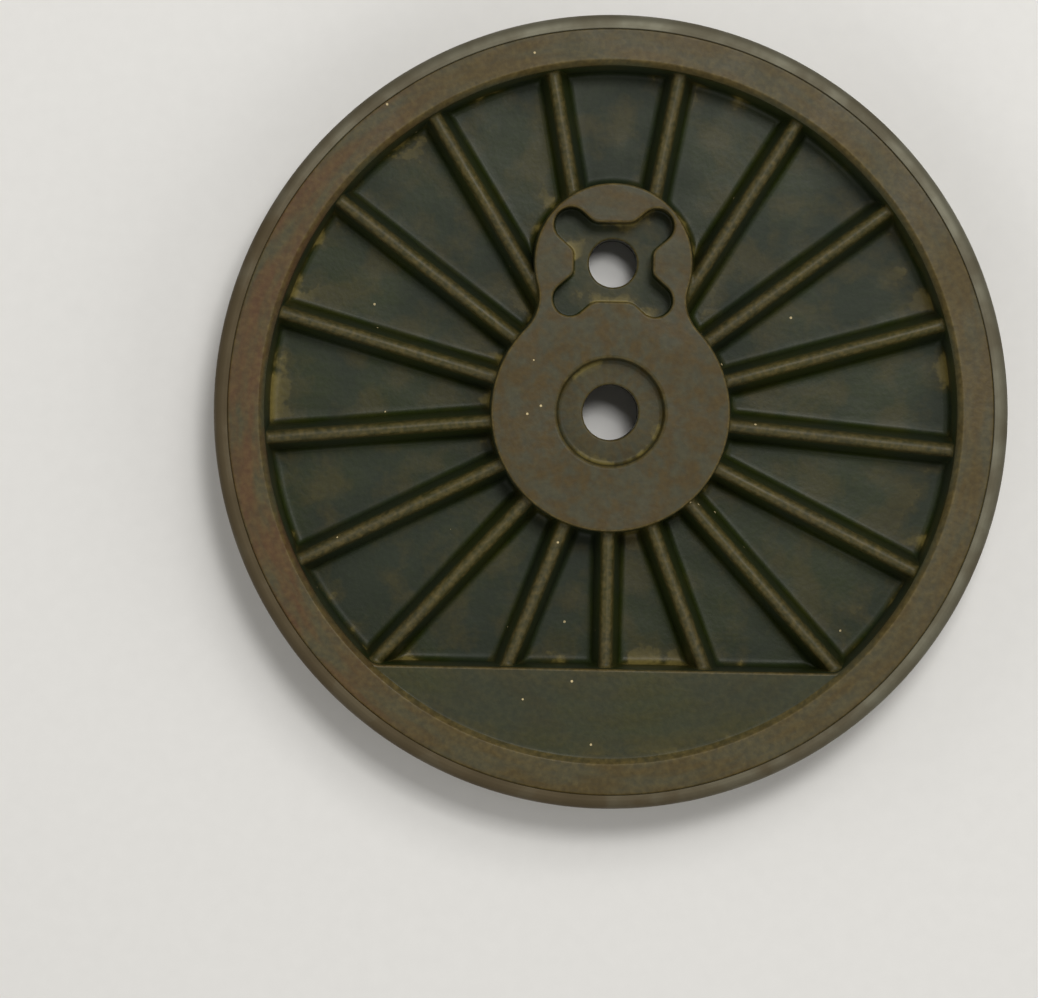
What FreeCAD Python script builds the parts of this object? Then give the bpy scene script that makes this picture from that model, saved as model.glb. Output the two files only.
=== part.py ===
import FreeCAD, Part
import math
import os
import Sketcher

# A flangeless driving wheel for a large-scale model steam locomotive: a die-cast
# spoked centre with its hub, crank boss and counterweight, and a plain steel tyre
# pressed on it. The wheel lies on its back: its axis is +Z, the origin is on the
# axis at the back face, and the crank boss points to +Y. Millimetres and degrees.

SIZES = {
    # tyre
    "wheel_width": 6.35,
    "tyre_diameter": 42.6,
    "tyre_thickness": 0.75,
    "tyre_corner_radius": 0.5,
    "tyre_back_chamfer": 0.3,
    # rim and web of the casting
    "rim_setback": 0.15,
    "rim_width": 1.65,
    "rim_bevel_width": 0.3,
    "rim_bevel_drop": 0.3,
    "web_thickness": 1.6,
    "back_recess_depth": 0.8,
    "back_rim_width": 2.55,
    "back_recess_lean": 0.3,
    "casting_draft": 2.5,
    "counterweight_depth": 5.1,
    # hub and crank boss
    "hub_setback": 0.15,
    "hub_diameter": 12.8,
    "boss_diameter": 8.46,
    "crank_throw": 8.05,
    "neck_radius": 2.4,
    # spokes
    "spoke_count": 17,
    "spoke_drop": 1.1,
    "spoke_foot_width": 1.5,
    "spoke_ridge_radius": 0.3,
    # holes, and the keyed pocket round the crank pin
    "axle_bore_diameter": 3.0,
    "counterbore_diameter": 5.8,
    "counterbore_depth": 1.1,
    "pin_bore_diameter": 2.6,
    "pocket_width": 4.25,
    "pocket_depth": 2.4,
    "lobe_width": 1.85,
    "lobe_angle": 41.0,
    "lobe_wall": 0.26,
    "land_corner_radius": 0.2,
    # fillets of the casting
    "foot_fillet": 0.4,
    "edge_round": 0.15,
}

# Heights above the back face. The counterweight is level with the foot of the rim's
# bevel, and the spokes and the counterweight are rooted in the middle of the web.
RIM_FACE = "(Sizes.wheel_width - Sizes.rim_setback)"
HUB_FACE = "(Sizes.wheel_width - Sizes.hub_setback)"
COUNTERWEIGHT_FACE = "(Sizes.wheel_width - Sizes.rim_setback - Sizes.rim_bevel_drop)"
FLOOR = "(Sizes.back_recess_depth + Sizes.web_thickness)"
WEB_MIDDLE = "(Sizes.back_recess_depth + Sizes.web_thickness / 2)"
RIDGE_TOP = "(Sizes.wheel_width - Sizes.rim_setback - Sizes.spoke_drop)"

# Distances from the axis: the tread, the tyre's seat, the rim's mouth, its bevel's foot
# and its middle, the mouth of the recess behind, and the counterweight's chord.
TREAD = "Sizes.tyre_diameter / 2"
SEAT = "(Sizes.tyre_diameter / 2 - Sizes.tyre_thickness)"
MOUTH = "(" + SEAT + " - Sizes.rim_width)"
BEVEL_FOOT = "(" + MOUTH + " - Sizes.rim_bevel_width)"
RIM_MIDDLE = "(" + SEAT + " - Sizes.rim_width / 2)"
BACK_MOUTH = "(" + SEAT + " - Sizes.back_rim_width)"
CHORD = "(" + MOUTH + " - Sizes.counterweight_depth)"

doc = FreeCAD.newDocument("DrivingWheel")
sheet = doc.addObject("Spreadsheet::Sheet", "Sizes")
for row, (alias, value) in enumerate(SIZES.items(), start=1):
    sheet.set(f"A{row}", alias)
    sheet.set(f"B{row}", str(value))
    sheet.setAlias(f"B{row}", alias)
doc.recompute()


def size(formula):
    """The present value of a formula in the sheet's names."""
    return float(sheet.evalExpression(formula))


def new_body(name, label):
    body = doc.addObject("PartDesign::Body", name)
    body.Label = label
    return body


def origin_part(body, role):
    """A plane or axis of the body's own origin, such as XY_Plane or Z_Axis."""
    return next(part for part in body.Origin.OriginFeatures if part.Role == role)


def new_sketch(body, name, role, height=None):
    """A sketch on one of the body's origin planes, or at a height above it."""
    sketch = body.newObject("Sketcher::SketchObject", name)
    sketch.AttachmentSupport = [(origin_part(body, role), "")]
    sketch.MapMode = "FlatFace"
    if height:
        sketch.setExpression("AttachmentOffset.Base.z", height)
    return sketch


def tie(sketch, name, kind, references, formula):
    """A named driving dimension that follows a formula."""
    index = sketch.addConstraint(Sketcher.Constraint(kind, *references, size(formula)))
    sketch.renameConstraint(index, name)
    sketch.setExpression(f"Constraints.{name}", formula)


def place_point(sketch, name, geometry, end, across, up):
    """Dimensions one end of a line from the sketch's origin; None keeps it on that axis."""
    if across is None:
        sketch.addConstraint(Sketcher.Constraint("PointOnObject", geometry, end, -2))
    else:
        tie(sketch, name + "_across", "DistanceX", (-1, 1, geometry, end), across)
    if up is None:
        sketch.addConstraint(Sketcher.Constraint("PointOnObject", geometry, end, -1))
    else:
        tie(sketch, name + "_up", "DistanceY", (-1, 1, geometry, end), up)


def polygon(sketch, corners):
    """A closed outline of straight lines through named corners."""
    points = []
    for _, across, up in corners:
        x = size(across) if across else 0.0
        y = size(up) if up else 0.0
        points.append(FreeCAD.Vector(x, y, 0))
    for here, there in zip(points, points[1:] + points[:1]):
        sketch.addGeometry(Part.LineSegment(here, there), False)
    for index in range(len(corners)):
        following = (index + 1) % len(corners)
        sketch.addConstraint(Sketcher.Constraint("Coincident", index, 2, following, 1))
    for index, (name, across, up) in enumerate(corners):
        place_point(sketch, name, index, 1, across, up)


def revolve(body, name, sketch):
    """Turns a section about the wheel's axis."""
    turned = body.newObject("PartDesign::Revolution", name)
    turned.Profile = sketch
    turned.ReferenceAxis = (sketch, ["V_Axis"])
    turned.Angle = 360
    doc.recompute()
    return turned


def circle_sketch(body, name, height, diameter, up=None):
    """A round outline on the wheel's axis, or at a distance up the sketch."""
    sketch = new_sketch(body, name, "XY_Plane", height)
    y = size(up) if up else 0.0
    circle = Part.Circle(FreeCAD.Vector(0, y, 0), FreeCAD.Vector(0, 0, 1), size(diameter) / 2)
    sketch.addGeometry(circle, False)
    tie(sketch, "diameter", "Diameter", (0,), diameter)
    place_point(sketch, "centre", 0, 3, None, up)
    return sketch


def sink(body, name, sketch, depth=None):
    """A pocket down from the sketch, to a depth or right through the wheel."""
    before = body.Shape.Volume
    pocket = body.newObject("PartDesign::Pocket", name)
    pocket.Profile = sketch
    if depth:
        pocket.setExpression("Length", depth)
    else:
        pocket.Type = "ThroughAll"
    doc.recompute()
    if body.Shape.Volume >= before:
        raise RuntimeError(name + " removes nothing")
    return pocket


def edges_where(feature, test):
    """The names of a feature's edges that pass a test."""
    return [f"Edge{i}" for i, edge in enumerate(feature.Shape.Edges, start=1) if test(edge)]


SAME_PLACE = 1e-4


def lies_at(edge, height):
    """Whether an edge lies flat at a height above the back face."""
    box = edge.BoundBox
    return abs(box.ZMin - height) < SAME_PLACE and abs(box.ZMax - height) < SAME_PLACE


def round_edges(body, name, feature, edges, radius):
    fillet = body.newObject("PartDesign::Fillet", name)
    fillet.Base = (feature, edges)
    fillet.setExpression("Radius", radius)
    doc.recompute()
    return fillet


def make_tyre():
    """The plain steel band, with a rounded front corner and a chamfer at the back."""
    body = new_body("Tyre", "tyre")
    section = new_sketch(body, "TyreSection", "XZ_Plane")
    polygon(section, [
        ("seat_back", SEAT, None),
        ("chamfer_foot", TREAD + " - Sizes.tyre_back_chamfer", None),
        ("chamfer_top", TREAD, "Sizes.tyre_back_chamfer"),
        ("tread_front", TREAD, "Sizes.wheel_width"),
        ("seat_front", SEAT, "Sizes.wheel_width"),
    ])
    band = revolve(body, "Band", section)
    front = size("Sizes.wheel_width")
    middle = size(TREAD + " - Sizes.tyre_thickness / 2")
    corner = edges_where(band, lambda e: lies_at(e, front) and e.BoundBox.XMax > middle)
    round_edges(body, "FrontCorner", band, corner, "Sizes.tyre_corner_radius")
    return body


def add_rim_and_web(body):
    """The rim with its bevel and wall, and the closed web with a recess behind it."""
    section = new_sketch(body, "RimSection", "XZ_Plane")
    lean = "(" + COUNTERWEIGHT_FACE + " - " + FLOOR + ") * tan(Sizes.casting_draft)"
    polygon(section, [
        ("web_back", None, "Sizes.back_recess_depth"),
        ("recess_foot", BACK_MOUTH + " - Sizes.back_recess_lean", "Sizes.back_recess_depth"),
        ("recess_mouth", BACK_MOUTH, None),
        ("seat_back", SEAT, None),
        ("seat_front", SEAT, RIM_FACE),
        ("mouth", MOUTH, RIM_FACE),
        ("bevel_foot", BEVEL_FOOT, COUNTERWEIGHT_FACE),
        ("wall_foot", BEVEL_FOOT + " - " + lean, FLOOR),
        ("floor_centre", None, FLOOR),
    ])
    turned = revolve(body, "RimAndWeb", section)
    floor = size(FLOOR)
    foot = edges_where(turned, lambda e: lies_at(e, floor))
    round_edges(body, "WallFoot", turned, foot, "Sizes.foot_fillet")


def grow_down(body, name, sketch, depth):
    """A pad down from the sketch, wider below by the casting's draft."""
    before = body.Shape.Volume
    pad = body.newObject("PartDesign::Pad", name)
    pad.Profile = sketch
    pad.Reversed = True
    pad.setExpression("Length", depth)
    pad.setExpression("TaperAngle", "Sizes.casting_draft")
    doc.recompute()
    if body.Shape.Volume <= before:
        raise RuntimeError(name + " adds nothing")
    return pad


def add_counterweight(body):
    """The segment below the chord, with its round side buried in the rim."""
    sketch = new_sketch(body, "CounterweightOutline", "XY_Plane", COUNTERWEIGHT_FACE)
    radius = size(RIM_MIDDLE)
    chord = size(CHORD)
    half = math.sqrt(radius ** 2 - chord ** 2)
    turn = math.atan2(chord, half)
    circle = Part.Circle(FreeCAD.Vector(0, 0, 0), FreeCAD.Vector(0, 0, 1), radius)
    sketch.addGeometry(Part.ArcOfCircle(circle, math.pi + turn, math.tau - turn), False)
    right = FreeCAD.Vector(half, -chord, 0)
    left = FreeCAD.Vector(-half, -chord, 0)
    sketch.addGeometry(Part.LineSegment(right, left), False)
    sketch.addConstraint(Sketcher.Constraint("Coincident", 0, 2, 1, 1))
    sketch.addConstraint(Sketcher.Constraint("Coincident", 1, 2, 0, 1))
    sketch.addConstraint(Sketcher.Constraint("Coincident", 0, 3, -1, 1))
    sketch.addConstraint(Sketcher.Constraint("Horizontal", 1))
    tie(sketch, "radius", "Radius", (0,), RIM_MIDDLE)
    tie(sketch, "chord", "DistanceY", (1, 1, -1, 1), CHORD)
    grow_down(body, "Counterweight", sketch, COUNTERWEIGHT_FACE + " - " + WEB_MIDDLE)


def add_hub(body):
    """The hub and the crank boss: two rounds joined by hollow necks, down to the back."""
    sketch = new_sketch(body, "HubOutline", "XY_Plane", HUB_FACE)
    hub = size("Sizes.hub_diameter / 2")
    boss = size("Sizes.boss_diameter / 2")
    throw = size("Sizes.crank_throw")
    neck = size("Sizes.neck_radius")
    neck_y = (throw ** 2 + (hub + neck) ** 2 - (boss + neck) ** 2) / (2 * throw)
    neck_x = math.sqrt((hub + neck) ** 2 - neck_y ** 2)
    from_hub = math.atan2(neck_y, neck_x)
    from_boss = math.atan2(neck_y - throw, neck_x)
    arcs = [
        (0, 0, hub, math.pi - from_hub, math.tau + from_hub),
        (neck_x, neck_y, neck, math.pi + from_boss, math.pi + from_hub),
        (0, throw, boss, from_boss, math.pi - from_boss),
        (-neck_x, neck_y, neck, -from_hub, -from_boss),
    ]
    up = FreeCAD.Vector(0, 0, 1)
    for x, y, radius, start, stop in arcs:
        whole = Part.Circle(FreeCAD.Vector(x, y, 0), up, radius)
        sketch.addGeometry(Part.ArcOfCircle(whole, start, stop), False)
    for joint in ((0, 2, 1, 2), (1, 1, 2, 1), (2, 2, 3, 2), (3, 1, 0, 1)):
        sketch.addConstraint(Sketcher.Constraint("Tangent", *joint))
    sketch.addConstraint(Sketcher.Constraint("Coincident", 0, 3, -1, 1))
    tie(sketch, "hub_radius", "Radius", (0,), "Sizes.hub_diameter / 2")
    tie(sketch, "right_neck", "Radius", (1,), "Sizes.neck_radius")
    tie(sketch, "boss_radius", "Radius", (2,), "Sizes.boss_diameter / 2")
    tie(sketch, "left_neck", "Radius", (3,), "Sizes.neck_radius")
    place_point(sketch, "boss_centre", 2, 3, None, "Sizes.crank_throw")

    return grow_down(body, "HubAndBoss", sketch, HUB_FACE)


def soften(body, hub):
    """A fillet at the foot of the hub, and small rounds on the cast edges."""
    floor = size(FLOOR)
    hub_face = size(HUB_FACE)
    counterweight_face = size(COUNTERWEIGHT_FACE)
    chord = size(CHORD)
    rim_mouth = size(MOUTH)

    def is_foot(edge):
        return lies_at(edge, floor) and edge.BoundBox.YMin > -chord / 2

    feet = edges_where(hub, is_foot)
    filleted = round_edges(body, "HubFoot", hub, feet, "Sizes.foot_fillet")

    def is_cast_edge(edge):
        on_hub = lies_at(edge, hub_face) and edge.BoundBox.YMax < rim_mouth
        straight = edge.Curve.TypeId == "Part::GeomLine"
        return on_hub or (straight and lies_at(edge, counterweight_face))

    edges = edges_where(filleted, is_cast_edge)
    round_edges(body, "CastEdges", filleted, edges, "Sizes.edge_round")


def add_spokes(body):
    """Straight ribs with leaning flanks and a round ridge, the first straight down."""
    sketch = new_sketch(body, "SpokeSection", "XZ_Plane")
    half_foot = "Sizes.spoke_foot_width / 2"
    ridge_height = RIDGE_TOP + " - Sizes.spoke_ridge_radius"
    foot = size(half_foot)
    floor = size(FLOOR)
    root = size(WEB_MIDDLE)
    ridge = size("Sizes.spoke_ridge_radius")
    centre = size(ridge_height)
    reach = math.hypot(foot, centre - floor)
    lean = math.atan2(foot, centre - floor) - math.asin(ridge / reach)
    across = ridge * math.cos(lean)
    shoulder = centre + ridge * math.sin(lean)
    corners = [
        FreeCAD.Vector(-across, shoulder, 0),
        FreeCAD.Vector(-foot, floor, 0),
        FreeCAD.Vector(-foot, root, 0),
        FreeCAD.Vector(foot, root, 0),
        FreeCAD.Vector(foot, floor, 0),
        FreeCAD.Vector(across, shoulder, 0),
    ]
    for here, there in zip(corners, corners[1:]):
        sketch.addGeometry(Part.LineSegment(here, there), False)
    whole = Part.Circle(FreeCAD.Vector(0, centre, 0), FreeCAD.Vector(0, 0, 1), ridge)
    sketch.addGeometry(Part.ArcOfCircle(whole, lean, math.pi - lean), False)
    for line in range(4):
        sketch.addConstraint(Sketcher.Constraint("Coincident", line, 2, line + 1, 1))
    sketch.addConstraint(Sketcher.Constraint("Tangent", 4, 2, 5, 1))
    sketch.addConstraint(Sketcher.Constraint("Tangent", 5, 2, 0, 1))
    tie(sketch, "ridge_radius", "Radius", (5,), "Sizes.spoke_ridge_radius")
    place_point(sketch, "ridge_centre", 5, 3, None, ridge_height)
    place_point(sketch, "left_foot", 1, 1, "-" + half_foot, FLOOR)
    place_point(sketch, "left_root", 2, 1, "-" + half_foot, WEB_MIDDLE)
    place_point(sketch, "right_root", 3, 1, half_foot, WEB_MIDDLE)
    place_point(sketch, "right_foot", 4, 1, half_foot, FLOOR)

    spoke = body.newObject("PartDesign::Pad", "Spoke")
    spoke.Profile = sketch
    spoke.setExpression("Length", RIM_MIDDLE)
    doc.recompute()
    if spoke.Shape.Volume <= spoke.BaseFeature.Shape.Volume:
        raise RuntimeError("the first spoke adds nothing")
    ring = body.newObject("PartDesign::PolarPattern", "Spokes")
    ring.Originals = [spoke]
    ring.Axis = (origin_part(body, "Z_Axis"), [""])
    ring.Angle = 360
    ring.setExpression("Occurrences", "Sizes.spoke_count")
    body.Tip = ring
    doc.recompute()


def add_bores(body):
    """The stepped axle bore and the crank pin's bore, right through the wheel."""
    sink(body, "Counterbore",
         circle_sketch(body, "CounterboreOutline", HUB_FACE, "Sizes.counterbore_diameter"),
         "Sizes.counterbore_depth")
    sink(body, "AxleBore",
         circle_sketch(body, "AxleBoreOutline", HUB_FACE, "Sizes.axle_bore_diameter"))
    sink(body, "PinBore",
         circle_sketch(body, "PinBoreOutline", HUB_FACE, "Sizes.pin_bore_diameter",
                       "Sizes.crank_throw"))


def add_pocket(body):
    """The keyed pocket round the crank pin: a square with four round-ended lobes."""
    square = new_sketch(body, "PocketSquare", "XY_Plane", HUB_FACE)
    half = "Sizes.pocket_width / 2"
    low = "Sizes.crank_throw - Sizes.pocket_width / 2"
    high = "Sizes.crank_throw + Sizes.pocket_width / 2"
    polygon(square, [
        ("low_left", "-" + half, low),
        ("low_right", half, low),
        ("high_right", half, high),
        ("high_left", "-" + half, high),
    ])
    sink(body, "PocketCentre", square, "Sizes.pocket_depth")

    lobes = new_sketch(body, "LobeSlot", "XY_Plane", HUB_FACE)
    reach = "(Sizes.boss_diameter / 2 - Sizes.lobe_wall - Sizes.lobe_width / 2)"
    across = reach + " * cos(Sizes.lobe_angle)"
    along = reach + " * sin(Sizes.lobe_angle)"
    throw = size("Sizes.crank_throw")
    radius = size("Sizes.lobe_width / 2")
    turn = math.radians(size("Sizes.lobe_angle"))
    side = FreeCAD.Vector(-math.sin(turn), math.cos(turn), 0) * radius
    near = FreeCAD.Vector(-size(across), throw - size(along), 0)
    far = FreeCAD.Vector(size(across), throw + size(along), 0)
    up = FreeCAD.Vector(0, 0, 1)
    quarter = math.pi / 2
    far_end = Part.ArcOfCircle(Part.Circle(far, up, radius), turn - quarter, turn + quarter)
    near_end = Part.ArcOfCircle(Part.Circle(near, up, radius), turn + quarter, turn - quarter)
    lobes.addGeometry(Part.LineSegment(near - side, far - side), False)
    lobes.addGeometry(far_end, False)
    lobes.addGeometry(Part.LineSegment(far + side, near + side), False)
    lobes.addGeometry(near_end, False)
    for joint in ((0, 2, 1, 1), (1, 2, 2, 1), (2, 2, 3, 1), (3, 2, 0, 1)):
        lobes.addConstraint(Sketcher.Constraint("Tangent", *joint))
    tie(lobes, "lobe_radius", "Radius", (1,), "Sizes.lobe_width / 2")
    place_point(lobes, "far_end", 1, 3, across, "Sizes.crank_throw + " + along)
    place_point(lobes, "near_end", 3, 3, "-" + across, "Sizes.crank_throw - " + along)
    slot = sink(body, "PocketLobes", lobes, "Sizes.pocket_depth")

    both = body.newObject("PartDesign::Mirrored", "PocketLobesMirrored")
    both.Originals = [slot]
    both.MirrorPlane = (origin_part(body, "YZ_Plane"), [""])
    body.Tip = both
    doc.recompute()

    top = size(HUB_FACE)
    pocket_floor = top - size("Sizes.pocket_depth")
    lobe_reach = size(reach)

    def is_land_corner(edge):
        box = edge.BoundBox
        upright = box.XLength < SAME_PLACE and box.YLength < SAME_PLACE
        at_floor = abs(box.ZMin - pocket_floor) < SAME_PLACE
        at_face = abs(box.ZMax - top) < SAME_PLACE
        from_pin = math.hypot(box.XMin, box.YMin - throw)
        return upright and at_floor and at_face and from_pin < lobe_reach

    corners = edges_where(both, is_land_corner)
    round_edges(body, "LandCorners", both, corners, "Sizes.land_corner_radius")


def make_wheel_centre():
    """The die-cast centre: rim, web, counterweight, hub with crank boss, and spokes."""
    body = new_body("WheelCentre", "wheel_centre")
    add_rim_and_web(body)
    add_counterweight(body)
    hub = add_hub(body)
    soften(body, hub)
    add_spokes(body)
    add_bores(body)
    add_pocket(body)
    return body


bodies = [make_wheel_centre(), make_tyre()]
doc.recompute()

for thing in doc.Objects:
    if "Invalid" in thing.State or "Error" in thing.State:
        raise RuntimeError(f"{thing.Name} failed: {thing.State}")
os.makedirs("parts", exist_ok=True)
for body in bodies:
    shape = body.Shape
    if shape.isNull() or not shape.isValid() or len(shape.Solids) != 1:
        raise RuntimeError(f"{body.Label} isn't one valid solid")
    print(f"{body.Label}: {shape.Volume:.1f} cubic mm, {len(shape.Faces)} faces")
    shape.exportStep(f"parts/{body.Label}.step")
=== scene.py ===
import math

import bmesh
import bpy
import numpy as np
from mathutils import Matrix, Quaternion, Vector
from mathutils.geometry import delaunay_2d_cdt


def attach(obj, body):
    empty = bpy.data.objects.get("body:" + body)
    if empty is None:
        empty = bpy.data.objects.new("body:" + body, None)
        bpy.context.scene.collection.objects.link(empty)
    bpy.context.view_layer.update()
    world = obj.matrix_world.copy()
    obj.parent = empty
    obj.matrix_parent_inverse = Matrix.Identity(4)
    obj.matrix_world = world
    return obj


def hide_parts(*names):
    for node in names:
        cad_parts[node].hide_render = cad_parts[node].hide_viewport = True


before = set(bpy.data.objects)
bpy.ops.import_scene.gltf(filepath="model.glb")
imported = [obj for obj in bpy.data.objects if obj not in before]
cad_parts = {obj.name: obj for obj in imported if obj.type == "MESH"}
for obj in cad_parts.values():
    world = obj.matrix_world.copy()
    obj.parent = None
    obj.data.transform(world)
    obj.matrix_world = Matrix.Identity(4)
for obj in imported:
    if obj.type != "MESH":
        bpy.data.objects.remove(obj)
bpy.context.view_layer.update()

# The wheel centre is one die casting in zinc alloy under a dark chemical finish. Its rim,
# web, spokes, hub, crank boss and counterweight are one closed skin, drafted to leave the
# die and filleted at every foot. Sizes are in millimetres, from the axis and the back face.
MM = 0.001
FACE = 6.2
FLOOR = 2.4
BACK_FLOOR = 0.8
DRAFT = math.tan(math.radians(2.5))
HUB_RADIUS = 6.4
BOSS_RADIUS = 4.23
THROW = 8.05
NECK_RADIUS = 2.4
SEAT_RADIUS = 20.55
MOUTH_RADIUS = 18.9
BACK_MOUTH_RADIUS = 18.0
BEVEL = 0.3
WEIGHT_FACE = FACE - BEVEL
CHORD = 13.8
CORNER_BLEND = 0.25
FOOT_FILLET = 0.4
EDGE_ROUND = 0.12

SPOKES = 17
SPOKE_HEIGHT = 2.7
RIDGE_RADIUS = 0.33
SPOKE_FOOT = 0.75
SPOKE_FILLET = 0.35
SPOKE_END_FILLET = 0.2
RIDGE_CENTRE = SPOKE_HEIGHT - RIDGE_RADIUS
FLANK_LEAN = (math.atan2(SPOKE_FOOT, RIDGE_CENTRE)
              - math.asin(RIDGE_RADIUS / math.hypot(SPOKE_FOOT, RIDGE_CENTRE)))
FILLET_RUN = SPOKE_FILLET * math.tan((math.pi / 2 - FLANK_LEAN) / 2)
SPOKE_END = SPOKE_FOOT + FILLET_RUN


def past_hub(x, y):
    """Distance outside the outline of the hub and boss at the face, below zero inside."""
    x = np.abs(x)
    hub_reach = HUB_RADIUS + NECK_RADIUS
    boss_reach = BOSS_RADIUS + NECK_RADIUS
    neck_y = (THROW ** 2 + hub_reach ** 2 - boss_reach ** 2) / (2 * THROW)
    neck_x = math.sqrt(hub_reach ** 2 - neck_y ** 2)
    rounds = np.minimum(np.hypot(x, y) - HUB_RADIUS, np.hypot(x, y - THROW) - BOSS_RADIUS)
    above_hub_line = x * neck_y - y * neck_x < 0
    below_boss_line = x * (neck_y - THROW) - (y - THROW) * neck_x > 0
    in_neck = above_hub_line & below_boss_line & (x < neck_x)
    return np.where(in_neck, NECK_RADIUS - np.hypot(x - neck_x, y - neck_y), rounds)


def past_recess(x, y):
    """Distance past the recess's outline at the counterweight's face, below zero inside."""
    to_rim = MOUTH_RADIUS - BEVEL - np.hypot(x, y)
    to_chord = y + CHORD
    blend = np.clip(0.5 + 0.5 * (to_chord - to_rim) / CORNER_BLEND, 0, 1)
    nearer = to_chord * (1 - blend) + to_rim * blend
    return CORNER_BLEND * blend * (1 - blend) - nearer


def fillet(distance, radius):
    """Rise of a concave fillet at a distance from the wall that it meets."""
    inside = np.clip(radius - distance, 0, radius)
    return radius - np.sqrt(radius ** 2 - inside ** 2)


def spoke_rise(across):
    """Height of a spoke over the web: round ridge, leaning flanks, filleted feet."""
    across = np.abs(across)
    shoulder = RIDGE_RADIUS * math.cos(FLANK_LEAN)
    slope = (RIDGE_CENTRE + RIDGE_RADIUS * math.sin(FLANK_LEAN)) / (SPOKE_FOOT - shoulder)
    ridge = RIDGE_CENTRE + np.sqrt(np.clip(RIDGE_RADIUS ** 2 - across ** 2, 0, None))
    flank = (SPOKE_FOOT - across) * slope
    beyond = np.clip(SPOKE_FILLET ** 2 - (SPOKE_END - across) ** 2, 0, None)
    rise = np.where(across < shoulder, ridge, flank)
    fillet_start = SPOKE_FOOT - FILLET_RUN * math.sin(FLANK_LEAN)
    rise = np.where(across > fillet_start, SPOKE_FILLET - np.sqrt(beyond), rise)
    return np.where(across > SPOKE_END, 0.0, rise)


# The skin hangs on lines that run outwards from the hub, side by side along each spoke,
# closest where its section curves, and fanned over the web between two spokes.
HALF_SPOKE = np.array([0.09, 0.17, 0.24, 0.29, 0.32, 0.42, 0.52, 0.6, 0.66, 0.69, 0.72, 0.76,
                       0.81, 0.88, 0.96, SPOKE_END])
ACROSS_SPOKE = np.concatenate([-HALF_SPOKE[::-1], [0.0], HALF_SPOKE])
LINES_PER_GAP = 9
FAN_MARGIN = 0.1
SEARCH_FROM = 21.0
SEARCH_TO = 2.0
SEARCH_STEP = 0.05
HALVINGS = 30


class Lines:
    """Straight lines seen from the front, each with its distance across its spoke."""

    def __init__(self, start, way, across):
        self.start = np.array(start)
        self.way = np.array(way)
        self.across = np.array(across)

    def at(self, along):
        """The x and the y of each line's point that far along it."""
        return (self.start + self.way * np.asarray(along)[:, None]).T

    def reach(self, outline, level):
        """How far along each line the outline's distance first falls to a level, inwards."""
        steps = np.arange(SEARCH_FROM, SEARCH_TO, -SEARCH_STEP)
        grid = self.start[:, None] + self.way[:, None] * steps[None, :, None]
        levels = np.broadcast_to(level, len(self.start))
        fallen = outline(grid[..., 0], grid[..., 1]) <= levels[:, None]
        low = steps[fallen.argmax(axis=1)]
        high = low + SEARCH_STEP
        for _ in range(HALVINGS):
            middle = (low + high) / 2
            inside = outline(*self.at(middle)) <= levels
            low = np.where(inside, middle, low)
            high = np.where(inside, high, middle)
        return (low + high) / 2

    def reach_circle(self, radius):
        """How far along each line it crosses a circle round the wheel's axis."""
        lead = (self.start * self.way).sum(axis=1)
        rest = (self.start ** 2).sum(axis=1)
        return -lead + np.sqrt(lead ** 2 - rest + radius ** 2)


def spoke_lines():
    """The lines along the spokes, side by side over the width of each."""
    starts = []
    ways = []
    for spoke in range(SPOKES):
        angle = -math.pi / 2 + math.tau * spoke / SPOKES
        way = np.array([math.cos(angle), math.sin(angle)])
        side = np.array([-way[1], way[0]])
        starts.extend(side * across for across in ACROSS_SPOKE)
        ways.extend([way] * len(ACROSS_SPOKE))
    return Lines(starts, ways, np.tile(ACROSS_SPOKE, SPOKES))


def all_lines():
    """The spokes' lines, with fanned ones between the last of a spoke and the next's first."""
    spokes = spoke_lines()
    inner = spokes.at(spokes.reach(past_hub, FAN_MARGIN)).T
    outer = spokes.at(spokes.reach(past_recess, -FAN_MARGIN)).T
    count = len(ACROSS_SPOKE)
    starts = []
    ways = []
    acrosses = []
    for spoke in range(SPOKES):
        first = spoke * count
        last = first + count - 1
        following = (last + 1) % (SPOKES * count)
        starts.extend(spokes.start[first:last + 1])
        ways.extend(spokes.way[first:last + 1])
        acrosses.extend(ACROSS_SPOKE)
        for gap in range(1, LINES_PER_GAP + 1):
            share = gap / (LINES_PER_GAP + 1)
            low = inner[last] * (1 - share) + inner[following] * share
            high = outer[last] * (1 - share) + outer[following] * share
            way = (high - low) / np.linalg.norm(high - low)
            starts.append(low - way * (low @ way))
            ways.append(way)
            acrosses.append(SPOKE_END)
    return Lines(starts, ways, acrosses)


def finish_mesh(name, mesh):
    """Turns the faces outwards, smooths them and puts the piece in the scene."""
    edited = bmesh.new()
    edited.from_mesh(mesh)
    bmesh.ops.recalc_face_normals(edited, faces=edited.faces)
    for face in edited.faces:
        face.smooth = True
    edited.to_mesh(mesh)
    edited.free()
    made = bpy.data.objects.new(name, mesh)
    bpy.context.scene.collection.objects.link(made)
    return made


# Fingers have rubbed the finish: wholly on the front faces, fading in over the height below
# them, and partly on the back face, fading out a tenth of a millimetre above it.
RUB_FROM = 5.4
RUB_OVER = 0.75
BACK_RUB = 0.7
BACK_RUB_DEPTH = 0.15
# Corners of a flat face that lie closer than this count as one.
SAME_POINT = 1e-7


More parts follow.
